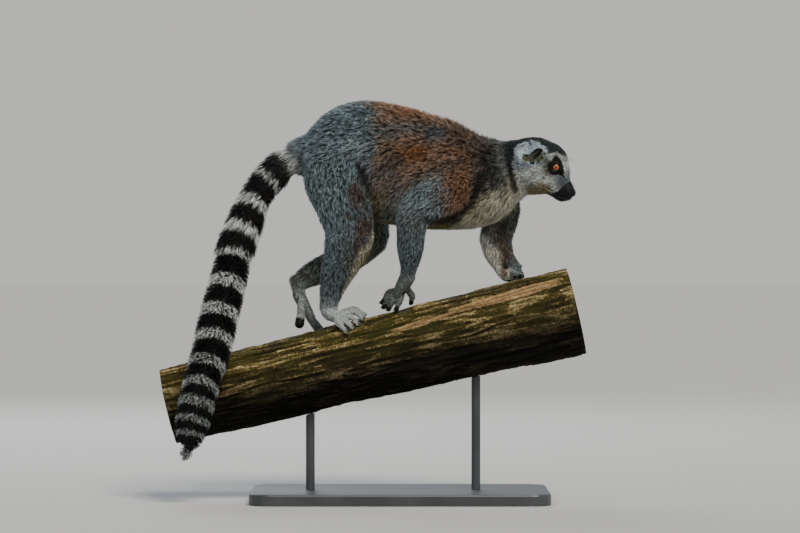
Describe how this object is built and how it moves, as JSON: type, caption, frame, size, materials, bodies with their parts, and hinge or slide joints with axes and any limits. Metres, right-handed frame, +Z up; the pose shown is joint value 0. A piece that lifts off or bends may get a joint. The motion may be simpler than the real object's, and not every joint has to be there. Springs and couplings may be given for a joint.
{
  "type": "ring-tailed lemur",
  "caption": "Life-size still model of a ring-tailed lemur walking up a short cut length of branch, on a flat display stand.",
  "frame": {"origin": "centre of the stand's underside, on the floor", "axes": "+X the way the lemur walks, +Y to its left, +Z up"},
  "size_m": [0.6187, 0.2533, 0.5818],
  "materials": {
    "grey_coat": "short dense grizzled grey fur",
    "brown_coat": "dense woolly red-brown fur",
    "pale_coat": "soft white to cream fur",
    "dark_coat": "long soft black fur",
    "eye": "wet orange iris with a black pupil",
    "bark": "rough ridged brown bark with sawn ends",
    "stand_paint": "satin black paint"
  },
  "bodies": {
    "root": {"head": "pale_coat", "neck": "grey_coat", "trunk": "brown_coat", "ear_left": "pale_coat", "ear_right": "pale_coat", "eye_left": "eye", "eye_right": "eye", "upper_arm_left": "grey_coat", "upper_arm_right": "grey_coat", "forearm_left": "grey_coat", "forearm_right": "grey_coat", "hand_left": "grey_coat", "hand_right": "grey_coat", "thigh_left": "grey_coat", "thigh_right": "grey_coat", "shank_left": "grey_coat", "shank_right": "grey_coat", "foot_left": "pale_coat", "foot_right": "pale_coat", "tail_1": "pale_coat", "tail_2": "dark_coat", "tail_3": "pale_coat", "tail_4": "dark_coat", "tail_5": "dark_coat", "perch_branch": "bark", "stand_base": "stand_paint", "stand_rod_rear": "stand_paint", "stand_rod_front": "stand_paint"}
  },
  "joints": []
}
